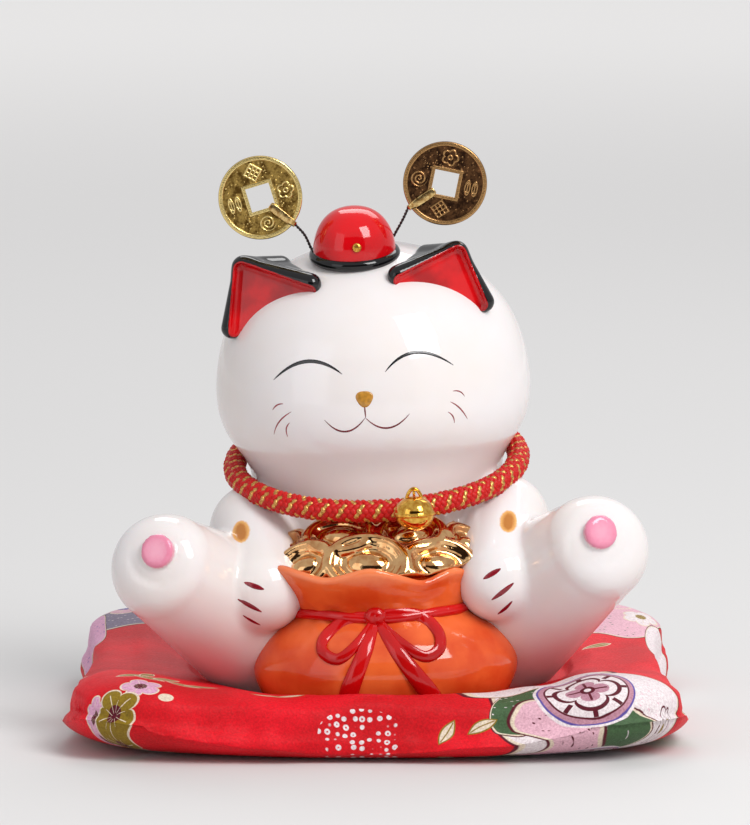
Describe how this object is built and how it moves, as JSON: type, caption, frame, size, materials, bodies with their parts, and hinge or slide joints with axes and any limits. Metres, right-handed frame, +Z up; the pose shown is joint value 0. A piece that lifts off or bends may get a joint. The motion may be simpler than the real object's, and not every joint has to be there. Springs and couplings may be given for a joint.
{
  "type": "ceramic cat figurine",
  "caption": "Sitting glazed cat with a tied money bag, a braided collar with a bell, nodding coins on springy wires and a floral cushion.",
  "frame": {"origin": "middle of the underside of the cushion", "axes": "+Z up, the cat faces -Y, +X along the width of the cushion"},
  "size_m": [0.18, 0.168, 0.1683],
  "materials": {
    "floral_cotton": "satin",
    "polyester_wadding": "matte",
    "white_glaze": "gloss",
    "black_glaze": "gloss",
    "red_glaze": "gloss",
    "orange_glaze": "gloss",
    "gold_lustre": "polished",
    "stopper_rubber": "matte",
    "braided_cord": "satin",
    "bell_gold": "polished",
    "pellet_steel": "satin",
    "spring_steel": "satin",
    "clip_brass": "satin",
    "coin_brass": "satin",
    "coin_bronze": "satin"
  },
  "bodies": {
    "cushion": {"cushion_top": "floral_cotton", "cushion_bottom": "floral_cotton", "cushion_filling": "polyester_wadding"},
    "cat": {"torso_shell": "white_glaze", "head_shell": "white_glaze", "left_leg": "white_glaze", "right_leg": "white_glaze", "left_arm": "white_glaze", "right_arm": "white_glaze", "left_ear": "black_glaze", "right_ear": "black_glaze", "tail": "white_glaze", "base_stopper": "stopper_rubber", "hat_crown": "red_glaze", "hat_brim": "black_glaze", "money_bag": "orange_glaze", "bag_ribbon": "red_glaze", "bag_bow": "red_glaze", "gold_heap": "gold_lustre", "collar_cord": "braided_cord", "collar_knot": "braided_cord", "bell_hanger": "bell_gold"},
    "bell": {"bell_upper": "bell_gold", "bell_lower": "bell_gold", "bell_eye": "bell_gold"},
    "pellet": {"bell_pellet": "pellet_steel"},
    "left_wire": {"left_wire": "spring_steel"},
    "right_wire": {"right_wire": "spring_steel"},
    "left_coin": {"left_clip": "clip_brass", "left_coin": "coin_brass"},
    "right_coin": {"right_clip": "clip_brass", "right_coin": "coin_bronze"}
  },
  "joints": [
    {"name": "cat_lift", "type": "slide", "parent": "cushion", "child": "cat", "axis": [0, 0, 1], "range_m": [0, 0.06]},
    {"name": "bell_swing", "type": "hinge", "parent": "cat", "child": "bell", "pos_m": [0.01095, -0.0529, 0.07249], "axis": [0, 1, 0], "range_deg": [-25, 25]},
    {"name": "pellet_rattle", "type": "slide", "parent": "bell", "child": "pellet", "axis": [-0.0436, 0, 0.999], "range_m": [0, 0.003]},
    {"name": "left_wire_sway", "type": "hinge", "parent": "cat", "child": "left_wire", "pos_m": [-0.0184, -0.009, 0.13728], "axis": [0, 1, 0], "range_deg": [-10, 10], "stiffness_Nm_per_rad": 0.03, "springref_deg": 1.21},
    {"name": "left_coin_nod", "type": "hinge", "parent": "left_wire", "child": "left_coin", "pos_m": [-0.02261, -0.013, 0.1442], "axis": [0.999, 0, 0.0436], "range_deg": [-15, 15], "stiffness_Nm_per_rad": 0.03},
    {"name": "right_wire_sway", "type": "hinge", "parent": "cat", "child": "right_wire", "pos_m": [0.00546, -0.009, 0.14092], "axis": [0, 1, 0], "range_deg": [-10, 10], "stiffness_Nm_per_rad": 0.03, "springref_deg": -1.23},
    {"name": "right_coin_nod", "type": "hinge", "parent": "right_wire", "child": "right_coin", "pos_m": [0.00936, -0.013, 0.149], "axis": [0.999, 0, 0.0436], "range_deg": [-15, 15], "stiffness_Nm_per_rad": 0.03}
  ]
}
